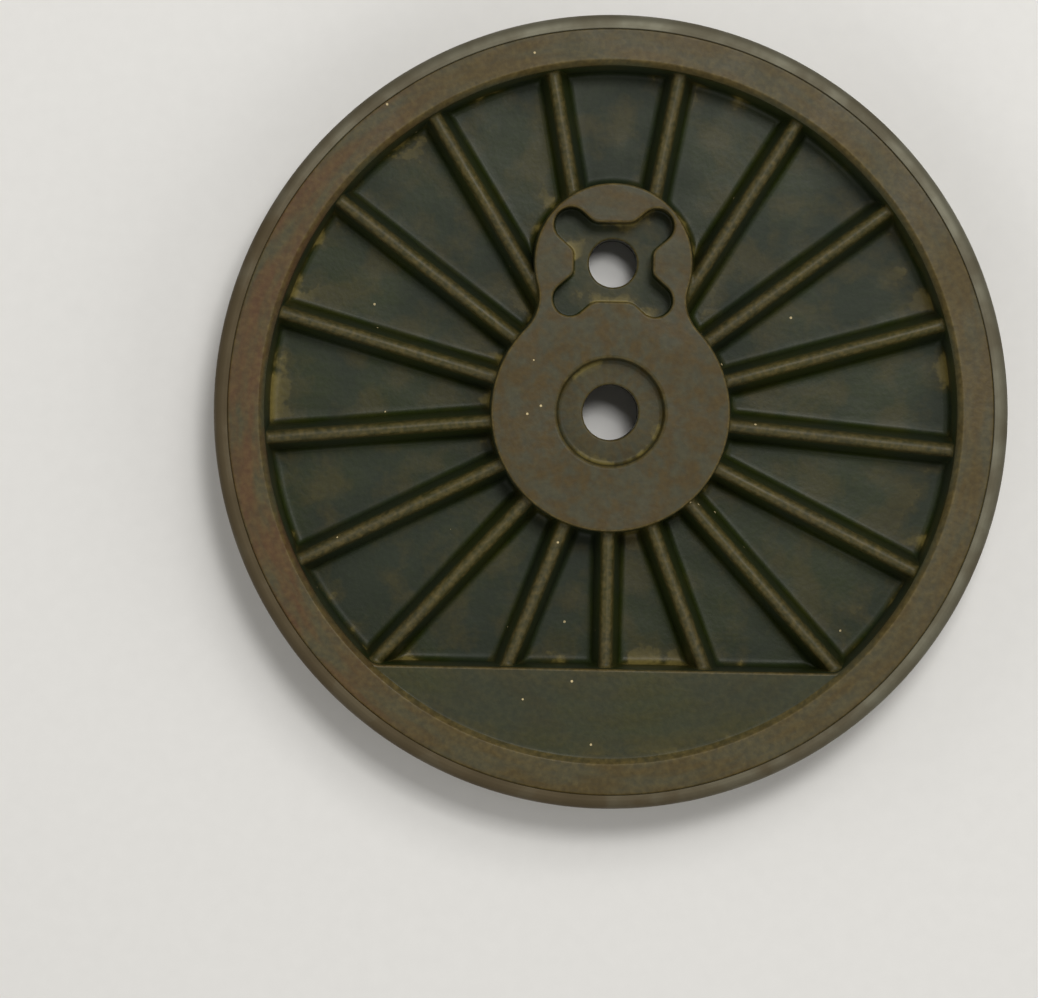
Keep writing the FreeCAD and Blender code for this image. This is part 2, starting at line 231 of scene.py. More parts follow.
class Skin:
    """Collects the rings of a closed skin, with the wear, grime and rub of every point."""

    def __init__(self):
        self.points = []
        self.finish = {"wear": [], "grime": [], "rub": []}
        self.faces = []

    def ring(self, x, y, z, wear=0.0, grime=0.0, rub=None):
        """Adds a ring of points; where rub isn't given, the front and back faces are rubbed."""
        first = len(self.points)
        if rub is None:
            front = np.clip((np.asarray(z) - RUB_FROM) / RUB_OVER, 0, 1)
            rub = front + np.clip(BACK_RUB - np.asarray(z) / BACK_RUB_DEPTH, 0, BACK_RUB)
        x, y, z, wear, grime, rub = np.broadcast_arrays(x, y, z, wear, grime, rub)
        self.points.extend(zip(x.tolist(), y.tolist(), z.tolist()))
        self.finish["wear"].extend(wear.tolist())
        self.finish["grime"].extend(grime.tolist())
        self.finish["rub"].extend(rub.tolist())
        return np.arange(first, len(self.points))

    def bridge(self, rings):
        """Joins each ring to the next one with four-sided faces."""
        for inner, outer in zip(rings, rings[1:]):
            self.faces.extend(zip(inner, outer, np.roll(outer, -1), np.roll(inner, -1)))

    def cap(self, rings):
        """Fills a flat face between an outline and the holes in it."""
        order = np.concatenate(rings)
        flat = [Vector(self.points[i][:2]) for i in order]
        edges = []
        for ring in rings:
            first = len(edges)
            last = first + len(ring) - 1
            edges.extend((i, i + 1) for i in range(first, last))
            edges.append((last, first))
        corners, _, triangles, origins, _, _ = delaunay_2d_cdt(flat, edges, [], 0, SAME_POINT, True)
        back = [order[sources[0]] for sources in origins]
        ends = np.array([[*flat[i], *flat[j]] for i, j in edges])
        for triangle in triangles:
            middle = np.mean([corners[i] for i in triangle], axis=0)
            if self.odd_crossings(middle, ends):
                self.faces.append(tuple(back[i] for i in triangle))

    def odd_crossings(self, point, ends):
        """Whether a point is inside the outline and outside its holes."""
        x1, y1, x2, y2 = ends.T
        spans = (y1 > point[1]) != (y2 > point[1])
        drop = np.where(spans, y2 - y1, 1.0)
        crossing = x1 + (point[1] - y1) * (x2 - x1) / drop
        return np.count_nonzero(spans & (crossing > point[0])) % 2 == 1

    def build(self, name):
        mesh = bpy.data.meshes.new(name)
        points = [(x * MM, y * MM, z * MM) for x, y, z in self.points]
        mesh.from_pydata(points, [], [tuple(int(i) for i in face) for face in self.faces])
        for label, values in self.finish.items():
            layer = mesh.attributes.new(label, "FLOAT", "POINT")
            layer.data.foreach_set("value", np.array(values, np.float32))
        return finish_mesh(name, mesh)


skin = Skin()
lines = all_lines()
rise = spoke_rise(lines.across)
on_spoke = np.clip(rise / SPOKE_HEIGHT, 0, 1)
end_fillet = FOOT_FILLET + (SPOKE_END_FILLET - FOOT_FILLET) * on_spoke
foot_height = FLOOR + rise + end_fillet
quarter_turn = np.linspace(0, math.pi / 2, 5)

# The hub and the crank boss share a flat face with a rounded, worn edge and drafted sides.
EDGE_INSET = 0.01
HUB_EDGE_LEVELS = (-EDGE_ROUND - EDGE_INSET, -EDGE_ROUND)
HUB_SIDE_SHARES = (0.05, 0.3, 0.65, 1.0)
HUB_SIDE_BLEND = 0.25

hub_rings = []
for level in HUB_EDGE_LEVELS:
    x, y = lines.at(lines.reach(past_hub, level))
    hub_rings.append(skin.ring(x, y, FACE, wear=0.1))
for angle in quarter_turn[1:]:
    x, y = lines.at(lines.reach(past_hub, -EDGE_ROUND * (1 - math.sin(angle))))
    hub_rings.append(skin.ring(x, y, FACE - EDGE_ROUND * (1 - math.cos(angle)), wear=1.0))
side_top = FACE - EDGE_ROUND
for share in HUB_SIDE_SHARES:
    height = side_top + (foot_height - side_top) * share
    drafted = (FACE - height) * DRAFT * min(1, share / HUB_SIDE_BLEND)
    x, y = lines.at(lines.reach(past_hub, drafted))
    hub_rings.append(skin.ring(x, y, height, wear=0.2 * (1 - share), grime=0.5 * share))
skin.bridge(hub_rings)

# The web is slightly uneven, as cast. The spokes' ridges are worn, and dirt gathers in the
# fillets at the walls and along the spokes' feet, most where the two meet.
FILLET_ROWS = np.array([0.012, 0.035, 0.07, 0.12, 0.18, 0.25, 0.33, 0.42, 0.55, 0.75])
WEB_ROWS = 18
WAVES = ((0.3, 2.9, 0.4), (1.2, 1.7, 2.0), (2.1, 2.3, 1.1), (2.8, 1.1, 5.0))
WAVE_HEIGHT = 0.004
WAVE_FADE = 0.6
RIDGE_WEAR = 0.75
RIDGE_WEAR_FROM = 0.72
RIDGE_WEAR_OVER = 0.2
WALL_DIRT_REACH = 0.5
FOOT_DIRT_REACH = 0.25
FILLET_DIRT = 0.45
CORNER_DIRT = 0.55


def cast_wave(x, y):
    """Unevenness of the cast skin, from waves that each have a heading, a length and a shift."""
    wave = np.zeros_like(x)
    for heading, length, shift in WAVES:
        along = x * math.cos(heading) + y * math.sin(heading)
        wave += np.sin(along * math.tau / length + shift)
    return WAVE_HEIGHT * wave


hub_foot = (FACE - foot_height) * DRAFT
rim_foot = (foot_height - WEIGHT_FACE) * DRAFT
start = lines.reach(past_hub, hub_foot)
stop = lines.reach(past_recess, rim_foot)
web_run = stop - start - 2 * FILLET_ROWS[-1]
rows = [start + row for row in FILLET_ROWS]
rows += [start + FILLET_ROWS[-1] + web_run * row / (WEB_ROWS + 1) for row in range(1, WEB_ROWS + 1)]
rows += [stop - row for row in FILLET_ROWS[::-1]]

ridge_wear = RIDGE_WEAR * np.clip((on_spoke - RIDGE_WEAR_FROM) / RIDGE_WEAR_OVER, 0, 1)
foot_dirt = np.exp(-np.abs(np.abs(lines.across) - SPOKE_END) / FOOT_DIRT_REACH)
foot_dirt = np.where(np.abs(lines.across) >= SPOKE_END, foot_dirt, foot_dirt * (1 - on_spoke))
recess_rings = [hub_rings[-1]]
for along in rows:
    x, y = lines.at(along)
    from_hub = np.clip(past_hub(x, y) - hub_foot, 0, None)
    from_rim = np.clip(rim_foot - past_recess(x, y), 0, None)
    from_wall = np.minimum(from_hub, from_rim)
    height = FLOOR + rise + fillet(from_hub, end_fillet) + fillet(from_rim, end_fillet)
    height = height + cast_wave(x, y) * np.clip(from_wall / WAVE_FADE, 0, 1)
    wall_dirt = np.exp(-from_wall / WALL_DIRT_REACH)
    grime = FILLET_DIRT * np.maximum(wall_dirt, foot_dirt) + CORNER_DIRT * wall_dirt * foot_dirt
    recess_rings.append(skin.ring(x, y, height, wear=ridge_wear, grime=grime))

# Outside the recess stand the drafted wall, the counterweight's flat face behind a rounded
# straight edge, and a bevel up to the rim's face. The bevel's edges are worn to a tan line.
WALL_SHARES = (0.0, 0.35, 0.7, 0.95)
CHORD_END_BLEND = 0.06
LEAST_STEP = 0.004
WEIGHT_RUB = 0.2
BEVEL_RUB = 0.6
# Each ring's share of the bevel beside a gap, of the way over the counterweight's face and
# of the bevel beyond that face, and its wear and grime there.
BEVEL_RINGS = (
    (0.03, 0.0, 0.0, 0.3, 0.0),
    (0.1, 0.02, 0.0, 0.2, 0.0),
    (0.18, 0.3, 0.0, 0.1, 0.0),
    (0.26, 0.7, 0.0, 0.1, 0.0),
    (0.34, 0.95, 0.0, 0.1, 0.5),
    (0.42, 0.985, 0.0, 0.1, 0.5),
    (0.5, 1.0, 0.03, 0.5, 0.5),
    (0.6, 1.0, 0.12, 0.9, 0.0),
    (0.75, 1.0, 0.5, 0.8, 0.0),
    (0.88, 1.0, 0.85, 0.9, 0.0),
    (1.0, 1.0, 1.0, 1.0, 0.0),
)

rim_rings = []
wall_top = WEIGHT_FACE - EDGE_ROUND
for share in WALL_SHARES:
    height = foot_height + (wall_top - foot_height) * share
    x, y = lines.at(lines.reach(past_recess, (height - WEIGHT_FACE) * DRAFT))
    rim_rings.append(skin.ring(x, y, height, grime=0.5 * (1 - share)))
skin.bridge(recess_rings + rim_rings[:1])

x, y = lines.at(lines.reach(past_recess, 0.0))
rim_is_further = (MOUTH_RADIUS - BEVEL - np.hypot(x, y)) - (y + CHORD)
on_chord = np.clip(0.5 + 0.5 * rim_is_further / CHORD_END_BLEND, 0, 1)
for angle in quarter_turn:
    height = wall_top + EDGE_ROUND * math.sin(angle)
    drafted = (height - WEIGHT_FACE) * DRAFT
    rounded = EDGE_ROUND * (1 - math.cos(angle))
    x, y = lines.at(lines.reach(past_recess, on_chord * rounded + (1 - on_chord) * drafted))
    rim_rings.append(skin.ring(x, y, height, wear=0.8 * on_chord))

chord_edge = lines.reach(past_recess, on_chord * EDGE_ROUND)
bevel_foot = lines.reach_circle(MOUTH_RADIUS - BEVEL)
bevel_top = lines.reach_circle(MOUTH_RADIUS)
reached = chord_edge
for climb, over, up, wear, grime in BEVEL_RINGS:
    beside_gap = lines.reach_circle(MOUTH_RADIUS - BEVEL * (1 - climb))
    on_weight = chord_edge + (bevel_foot - chord_edge) * over + (bevel_top - bevel_foot) * up
    along = on_chord * on_weight + (1 - on_chord) * beside_gap
    reached = np.maximum(along, reached + LEAST_STEP)
    x, y = lines.at(reached)
    height = WEIGHT_FACE + BEVEL * (on_chord * up + (1 - on_chord) * climb)
    weight_rub = WEIGHT_RUB + (1 - WEIGHT_RUB) * up
    gap_rub = BEVEL_RUB + (1 - BEVEL_RUB) * climb
    rub = on_chord * weight_rub + (1 - on_chord) * gap_rub
    wear = on_chord * wear + (1 - on_chord) * climb
    rim_rings.append(skin.ring(x, y, height, wear=wear, grime=on_chord * grime, rub=rub))

# The rim's face, the tyre's seat and the back face are turned, with their edges broken, and
# the back is recessed between rim and hub. A row has radius, height, wear and grime.
RIM_PROFILE = (
    (MOUTH_RADIUS + 0.04, FACE, 0.8, 0.0),
    (MOUTH_RADIUS + 0.12, FACE, 0.5, 0.0),
    (MOUTH_RADIUS + 0.8, FACE, 0.4, 0.0),
    (SEAT_RADIUS - 0.15, FACE, 0.4, 0.0),
    (SEAT_RADIUS - 0.07, FACE, 0.6, 0.0),
    (SEAT_RADIUS - 0.025, FACE - 0.007, 0.7, 0.3),
    (SEAT_RADIUS - 0.007, FACE - 0.022, 0.5, 0.3),
    (SEAT_RADIUS, FACE - 0.045, 0.0, 0.3),
    (SEAT_RADIUS, FACE - 0.3, 0.0, 0.3),
    (SEAT_RADIUS, 0.3, 0.0, 0.3),
    (SEAT_RADIUS, 0.1, 0.0, 0.3),
    (SEAT_RADIUS - 0.03, 0.03, 0.5, 0.3),
    (SEAT_RADIUS - 0.1, 0.0, 0.5, 0.0),
    (SEAT_RADIUS - 0.2, 0.0, 0.2, 0.0),
    (BACK_MOUTH_RADIUS + 0.15, 0.0, 0.3, 0.0),
    (BACK_MOUTH_RADIUS + 0.06, 0.0, 0.8, 0.0),
    (BACK_MOUTH_RADIUS, 0.05, 0.8, 0.0),
    (BACK_MOUTH_RADIUS - 0.06, 0.2, 0.0, 0.0),
    (BACK_MOUTH_RADIUS - 0.22, BACK_FLOOR - 0.2, 0.0, 0.8),
    (BACK_MOUTH_RADIUS - 0.32, BACK_FLOOR - 0.06, 0.0, 0.8),
    (BACK_MOUTH_RADIUS - 0.45, BACK_FLOOR - 0.01, 0.0, 0.8),
    (BACK_MOUTH_RADIUS - 0.6, BACK_FLOOR, 0.0, 0.8),
)
BACK_ROWS = 11
BACK_WAVE_SHIFT = 40
BACK_FILLET_RUN = 0.35
# A row has its distance past the hub's outline at the back, its height and its wear.
BACK_HUB_PROFILE = (
    (0.15, BACK_FLOOR - 0.02, 0.0),
    (0.04, BACK_FLOOR - 0.1, 0.0),
    (0.0, BACK_FLOOR - 0.25, 0.0),
    (0.02, 0.12, 0.4),
    (-0.01, 0.03, 0.8),
    (-0.09, 0.0, 0.8),
    (-0.12, 0.0, 0.3),
)

for radius, height, wear, grime in RIM_PROFILE:
    x, y = lines.at(lines.reach_circle(radius))
    rim_rings.append(skin.ring(x, y, height, wear=wear, grime=grime))
skin.bridge(rim_rings)

back_rings = [rim_rings[-1]]
back_hub = (FACE - BACK_FLOOR) * DRAFT
floor_outer = lines.reach_circle(RIM_PROFILE[-1][0])
floor_inner = lines.reach(past_hub, back_hub + BACK_FILLET_RUN)
for row in range(1, BACK_ROWS + 1):
    x, y = lines.at(floor_outer + (floor_inner - floor_outer) * row / BACK_ROWS)
    wave = cast_wave(x + BACK_WAVE_SHIFT, y) * (row < BACK_ROWS)
    back_rings.append(skin.ring(x, y, BACK_FLOOR + wave, grime=0.3))
for past, height, wear in BACK_HUB_PROFILE:
    x, y = lines.at(lines.reach(past_hub, back_hub + past))
    back_rings.append(skin.ring(x, y, height, wear=wear))
skin.bridge(back_rings)

# The axle's stepped bore and the crank pin's bore are drilled. The keyed pocket round the
# pin is cast: a square with four round-ended lobes, its corners rounded.
AXLE_RADIUS = 1.5
COUNTERBORE_RADIUS = 2.9
COUNTERBORE_FLOOR = 5.1
PIN_RADIUS = 1.3
POCKET_FLOOR = 3.8
POCKET_HALF = 2.125
LOBE_RADIUS = 0.925
LOBE_REACH = 3.045
LOBE_ANGLE = math.radians(41.0)
LAND_BLEND = 0.2
BORE_POINTS = 120
POCKET_POINTS = 280
POCKET_SEARCH = 5.0
POCKET_HALVINGS = 40
OUTLINE_SAMPLES = 4001
AXLE_RUB = 0.75
PIN_RUB = 0.1
BACK_EDGE_HEIGHT = 0.05


def past_pocket(x, y):
    """Distance outside the pocket's outline, from the crank pin's axis, below zero inside."""
    x = np.abs(x)
    y = np.abs(y)
    square = np.maximum(x, y) - POCKET_HALF
    way_x = math.cos(LOBE_ANGLE)
    way_y = math.sin(LOBE_ANGLE)
    along = np.clip(x * way_x + y * way_y, 0, LOBE_REACH)
    lobe = np.hypot(x - along * way_x, y - along * way_y) - LOBE_RADIUS
    blend = np.clip(0.5 + 0.5 * (lobe - square) / LAND_BLEND, 0, 1)
    return lobe * (1 - blend) + square * blend - LAND_BLEND * blend * (1 - blend)


def pocket_outline(turns, level):
    """The outline's points in the given directions from the pin's axis."""
    low = np.zeros_like(turns)
    high = np.full_like(turns, POCKET_SEARCH)
    for _ in range(POCKET_HALVINGS):
        middle = (low + high) / 2
        inside = past_pocket(middle * np.cos(turns), middle * np.sin(turns)) < level
        low = np.where(inside, middle, low)
        high = np.where(inside, high, middle)
    return low * np.cos(turns), low * np.sin(turns)


def even_turns():
    """Directions from the pin's axis that space the outline's points evenly."""
    turns = np.linspace(0, math.tau, OUTLINE_SAMPLES)
    x, y = pocket_outline(turns, 0.0)
    run = np.concatenate([[0], np.cumsum(np.hypot(np.diff(x), np.diff(y)))])
    return np.interp(np.arange(POCKET_POINTS) / POCKET_POINTS * run[-1], run, turns)


def bore(centre_y, inner_rub, profile):
    """Rings of a drilled hole down a profile of radius, height, wear and grime."""
    turns = np.arange(BORE_POINTS) / BORE_POINTS * math.tau
    rings = []
    for radius, height, wear, grime in profile:
        x = radius * np.cos(turns)
        y = centre_y + radius * np.sin(turns)
        if height == FACE:
            rub = 1.0
        elif height < BACK_EDGE_HEIGHT:
            rub = BACK_RUB
        else:
            rub = inner_rub
        rings.append(skin.ring(x, y, height, wear, grime, rub))
    skin.bridge(rings)
    return rings


axle_rings = bore(0.0, AXLE_RUB, (
    (COUNTERBORE_RADIUS + 0.19, FACE, 0.1, 0.0),
    (COUNTERBORE_RADIUS + 0.17, FACE, 0.2, 0.0),
    (COUNTERBORE_RADIUS + 0.08, FACE - 0.025, 0.6, 0.0),
    (COUNTERBORE_RADIUS + 0.02, FACE - 0.08, 0.8, 0.0),
    (COUNTERBORE_RADIUS, FACE - 0.17, 0.5, 0.0),
    (COUNTERBORE_RADIUS, FACE - 0.22, 0.0, 0.0),
    (COUNTERBORE_RADIUS - 0.03, COUNTERBORE_FLOOR + 0.25, 0.0, 0.3),
    (COUNTERBORE_RADIUS - 0.06, COUNTERBORE_FLOOR + 0.12, 0.0, 0.6),
    (COUNTERBORE_RADIUS - 0.13, COUNTERBORE_FLOOR + 0.03, 0.0, 0.8),
    (COUNTERBORE_RADIUS - 0.25, COUNTERBORE_FLOOR, 0.0, 0.8),
    (COUNTERBORE_RADIUS - 0.3, COUNTERBORE_FLOOR, 0.1, 0.6),
    (AXLE_RADIUS + 0.13, COUNTERBORE_FLOOR, 0.2, 0.0),
    (AXLE_RADIUS + 0.1, COUNTERBORE_FLOOR, 0.4, 0.0),
    (AXLE_RADIUS + 0.03, COUNTERBORE_FLOOR - 0.03, 0.6, 0.0),
    (AXLE_RADIUS, COUNTERBORE_FLOOR - 0.1, 0.3, 0.0),
    (AXLE_RADIUS, COUNTERBORE_FLOOR - 0.15, 0.0, 0.3),
    (AXLE_RADIUS, 0.15, 0.0, 0.3),
    (AXLE_RADIUS, 0.1, 0.3, 0.0),
    (AXLE_RADIUS + 0.03, 0.03, 0.6, 0.0),
    (AXLE_RADIUS + 0.1, 0.0, 0.4, 0.0),
    (AXLE_RADIUS + 0.12, 0.0, 0.2, 0.0),
))
pin_rings = bore(THROW, PIN_RUB, (
    (PIN_RADIUS + 0.13, POCKET_FLOOR, 0.2, 0.2),
    (PIN_RADIUS + 0.1, POCKET_FLOOR, 0.5, 0.0),
    (PIN_RADIUS + 0.03, POCKET_FLOOR - 0.03, 1.0, 0.0),
    (PIN_RADIUS, POCKET_FLOOR - 0.1, 0.5, 0.0),
    (PIN_RADIUS, POCKET_FLOOR - 0.15, 0.0, 0.3),
    (PIN_RADIUS, 0.15, 0.0, 0.3),
    (PIN_RADIUS, 0.1, 0.5, 0.0),
    (PIN_RADIUS + 0.03, 0.03, 1.0, 0.0),
    (PIN_RADIUS + 0.1, 0.0, 0.7, 0.0),
    (PIN_RADIUS + 0.12, 0.0, 0.4, 0.0),
))
# A row has its distance past the pocket's outline, its height, its wear and its grime.
POCKET_PROFILE = (
    (0.13, FACE, 0.1, 0.0),
    (0.12, FACE, 0.3, 0.0),
    (0.07, FACE - 0.015, 1.0, 0.0),
    (0.03, FACE - 0.05, 1.0, 0.0),
    (0.0, FACE - 0.12, 0.6, 0.0),
    (0.0, FACE - 0.16, 0.0, 0.2),
    (0.0, POCKET_FLOOR + 0.14, 0.0, 0.8),
    (0.0, POCKET_FLOOR + 0.1, 0.0, 1.0),
    (-0.03, POCKET_FLOOR + 0.03, 0.0, 1.0),
    (-0.1, POCKET_FLOOR, 0.0, 1.0),
    (-0.14, POCKET_FLOOR, 0.0, 0.8),
)
pocket_turns = even_turns()
pocket_rings = []
for past, height, wear, grime in POCKET_PROFILE:
    x, y = pocket_outline(pocket_turns, past)
    pocket_rings.append(skin.ring(x, THROW + y, height, wear=wear, grime=grime))
skin.bridge(pocket_rings)
skin.cap([hub_rings[0], axle_rings[0], pocket_rings[0]])
skin.cap([pocket_rings[-1], pin_rings[0]])
skin.cap([back_rings[-1], axle_rings[-1], pin_rings[-1]])
wheel_centre = skin.build("wheel_centre_casting")


def linear(code):
    """A colour from its sRGB hex code, as linear RGBA."""
    parts = [int(code[i:i + 2], 16) / 255 for i in (1, 3, 5)]
    return [p / 12.92 if p <= 0.04045 else ((p + 0.055) / 1.055) ** 2.4 for p in parts] + [1.0]


def add(tree, kind, settings=None, links=None):
    """Adds a node with its settings, its plain inputs, where a text is a colour, and links."""
    node = tree.nodes.new(kind)
    for key, value in (settings or {}).items():
        if isinstance(key, str) and hasattr(node, key):
            setattr(node, key, value)
        elif isinstance(value, str):
            node.inputs[key].default_value = linear(value)
        else:
            node.inputs[key].default_value = value
    for key, source in (links or {}).items():
        tree.links.new(source, node.inputs[key])
    return node


# A Mix node's colour sockets go by number, because its other sockets share their names.
FIRST = 6
SECOND = 7
MIXED = 2

# Die-cast zinc, chemically blackened: matt, slate green in clouds where it lies deep. Fingers
# have rubbed the raised faces brown, in streaks round the axis, and rust has stained the left
# of them. Edges are worn tan, tan dirt sits in the corners, and a few pale specks lie about.
SLATE = "#1f2615"
OLIVE = "#21280a"
RUBBED_GREY = "#393725"
RUBBED_BROWN = "#3d300f"
RUST = "#4c2e1b"
WORN_TAN = "#5b4e2b"
THIN_DIRT = "#403814"
THICK_DIRT = "#6f6334"
PALE_SPECK = "#b9a77c"
CLOUD_SIZE = 4.5
GRAIN_SIZE = 0.3
GRAIN_DEPTH = 0.03
STREAK_LENGTH = 3.5
STREAK_WIDTH = 0.8
RUST_START = -8.0
RUST_END = -18.0
DIRT_SIZE = 2.4
SPECK_SPACING = 1.7
SPECK_RADIUS = 0.07


def cast_zinc():
    material = bpy.data.materials.new("blackened_cast_zinc")
    material.use_nodes = True
    tree = material.node_tree
    shader = tree.nodes["Principled BSDF"]
    shader.inputs["Specular IOR Level"].default_value = 0.2
    place = add(tree, "ShaderNodeTexCoord").outputs["Object"]
    wear = add(tree, "ShaderNodeAttribute", {"attribute_name": "wear"}).outputs["Fac"]
    grime = add(tree, "ShaderNodeAttribute", {"attribute_name": "grime"}).outputs["Fac"]
    rub = add(tree, "ShaderNodeAttribute", {"attribute_name": "rub"}).outputs["Fac"]
    cloud = add(tree, "ShaderNodeTexNoise", {"Scale": 1 / (CLOUD_SIZE * MM), "Detail": 4.0},
                {"Vector": place}).outputs["Fac"]
    clouds = add(tree, "ShaderNodeMapRange", {"From Min": 0.42, "From Max": 0.58},
                 {"Value": cloud}).outputs["Result"]
    grain = add(tree, "ShaderNodeTexNoise", {"Scale": 1 / (GRAIN_SIZE * MM), "Detail": 3.0},
                {"Vector": place}).outputs["Fac"]

    flat = add(tree, "ShaderNodeVectorMath", {"operation": "MULTIPLY", 1: (1, 1, 0)},
               {0: place}).outputs["Vector"]
    radius = add(tree, "ShaderNodeVectorMath", {"operation": "LENGTH"}, {0: flat}).outputs["Value"]
    heading = add(tree, "ShaderNodeVectorMath", {"operation": "NORMALIZE"},
                  {0: flat}).outputs["Vector"]
    around = add(tree, "ShaderNodeVectorMath",
                 {"operation": "SCALE", "Scale": SEAT_RADIUS / STREAK_LENGTH},
                 {0: heading}).outputs["Vector"]
    out = add(tree, "ShaderNodeMath", {"operation": "DIVIDE", 1: STREAK_WIDTH * MM},
              {0: radius}).outputs["Value"]
    lift = add(tree, "ShaderNodeCombineXYZ", {}, {"Z": out}).outputs["Vector"]
    ringed = add(tree, "ShaderNodeVectorMath", {"operation": "ADD"},
                 {0: around, 1: lift}).outputs["Vector"]
    streak = add(tree, "ShaderNodeTexNoise", {"Scale": 1.0, "Detail": 3.0},
                 {"Vector": ringed}).outputs["Fac"]
    streaks = add(tree, "ShaderNodeMapRange", {"From Min": 0.38, "From Max": 0.62},
                  {"Value": streak}).outputs["Result"]
    sideways = add(tree, "ShaderNodeSeparateXYZ", {}, {"Vector": place}).outputs["X"]
    leftward = add(tree, "ShaderNodeMapRange",
                   {"From Min": RUST_START * MM, "From Max": RUST_END * MM, "To Max": 0.8},
                   {"Value": sideways}).outputs["Result"]
    rusty = add(tree, "ShaderNodeMath", {"operation": "MULTIPLY"},
                {0: leftward, 1: streaks}).outputs["Value"]
    deep = add(tree, "ShaderNodeMix", {"data_type": "RGBA", FIRST: SLATE, SECOND: OLIVE},
               {"Factor": clouds}).outputs[MIXED]
    brown = add(tree, "ShaderNodeMix", {"data_type": "RGBA", FIRST: RUBBED_GREY, SECOND: RUBBED_BROWN},
                {"Factor": streaks}).outputs[MIXED]
    face = add(tree, "ShaderNodeMix", {"data_type": "RGBA", SECOND: RUST},
               {"Factor": rusty, FIRST: brown}).outputs[MIXED]
    tone = add(tree, "ShaderNodeMix", {"data_type": "RGBA"},
               {"Factor": rub, FIRST: deep, SECOND: face}).outputs[MIXED]

    broken = add(tree, "ShaderNodeMapRange",
                 {"From Min": 0.35, "From Max": 0.7, "To Min": 0.35, "To Max": 0.9},
                 {"Value": grain}).outputs["Result"]
    worn = add(tree, "ShaderNodeMath", {"operation": "MULTIPLY"}, {0: wear, 1: broken}).outputs["Value"]
    tone = add(tree, "ShaderNodeMix", {"data_type": "RGBA", SECOND: WORN_TAN},
               {"Factor": worn, FIRST: tone}).outputs[MIXED]

    patch = add(tree, "ShaderNodeTexNoise", {"Scale": 1 / (DIRT_SIZE * MM), "Detail": 5.0},
                {"Vector": place}).outputs["Fac"]
    caught = add(tree, "ShaderNodeMapRange", {"From Min": 0.46, "From Max": 0.6},
                 {"Value": patch}).outputs["Result"]
    dirt = add(tree, "ShaderNodeMath", {"operation": "MULTIPLY"}, {0: caught, 1: grime}).outputs["Value"]
    thick = add(tree, "ShaderNodeMapRange", {"From Min": 0.45, "From Max": 0.95},
                {"Value": dirt}).outputs["Result"]
    tone = add(tree, "ShaderNodeMix", {"data_type": "RGBA", SECOND: THIN_DIRT},
               {"Factor": dirt, FIRST: tone}).outputs[MIXED]
    tone = add(tree, "ShaderNodeMix", {"data_type": "RGBA", SECOND: THICK_DIRT},
               {"Factor": thick, FIRST: tone}).outputs[MIXED]

    cells = add(tree, "ShaderNodeTexVoronoi", {"Scale": 1 / (SPECK_SPACING * MM)},
                {"Vector": place}).outputs
    near = add(tree, "ShaderNodeMath", {"operation": "LESS_THAN", 1: SPECK_RADIUS / SPECK_SPACING},
               {0: cells["Distance"]}).outputs["Value"]
    pick = add(tree, "ShaderNodeSeparateColor", {}, {"Color": cells["Color"]}).outputs["Red"]
    picked = add(tree, "ShaderNodeMath", {"operation": "GREATER_THAN", 1: 0.35},
                 {0: pick}).outputs["Value"]
    speck = add(tree, "ShaderNodeMath", {"operation": "MULTIPLY"}, {0: near, 1: picked}).outputs["Value"]
    tone = add(tree, "ShaderNodeMix", {"data_type": "RGBA", SECOND: PALE_SPECK},
               {"Factor": speck, FIRST: tone}).outputs[MIXED]

    level = add(tree, "ShaderNodeMapRange",
                {"From Min": 0.25, "From Max": 0.75, "To Min": 0.84, "To Max": 1.16},
                {"Value": grain}).outputs["Result"]
    grained = add(tree, "ShaderNodeHueSaturation", {}, {"Color": tone, "Value": level}).outputs["Color"]
    gloss = add(tree, "ShaderNodeMapRange", {"To Min": 0.52, "To Max": 0.44},
                {"Value": clouds}).outputs["Result"]
    bump = add(tree, "ShaderNodeBump", {"Strength": 0.35, "Distance": GRAIN_DEPTH * MM},
               {"Height": grain}).outputs["Normal"]
    tree.links.new(grained, shader.inputs["Base Color"])
    tree.links.new(gloss, shader.inputs["Roughness"])
    tree.links.new(bump, shader.inputs["Normal"])
    return material


wheel_centre.data.materials.append(cast_zinc())
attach(wheel_centre, "root")
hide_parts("wheel_centre")

# The tyre is a plain ring of mild steel, turned with a rounded front corner and a chamfer at
# the back, and pressed on the casting's seat. Its front stands a little proud of the casting.
TYRE_RADIUS = 21.3
TYRE_FRONT = 6.35
TYRE_CORNER = 0.5
TYRE_CHAMFER = 0.3
TYRE_SEGMENTS = 400
CORNER_STEPS = 10


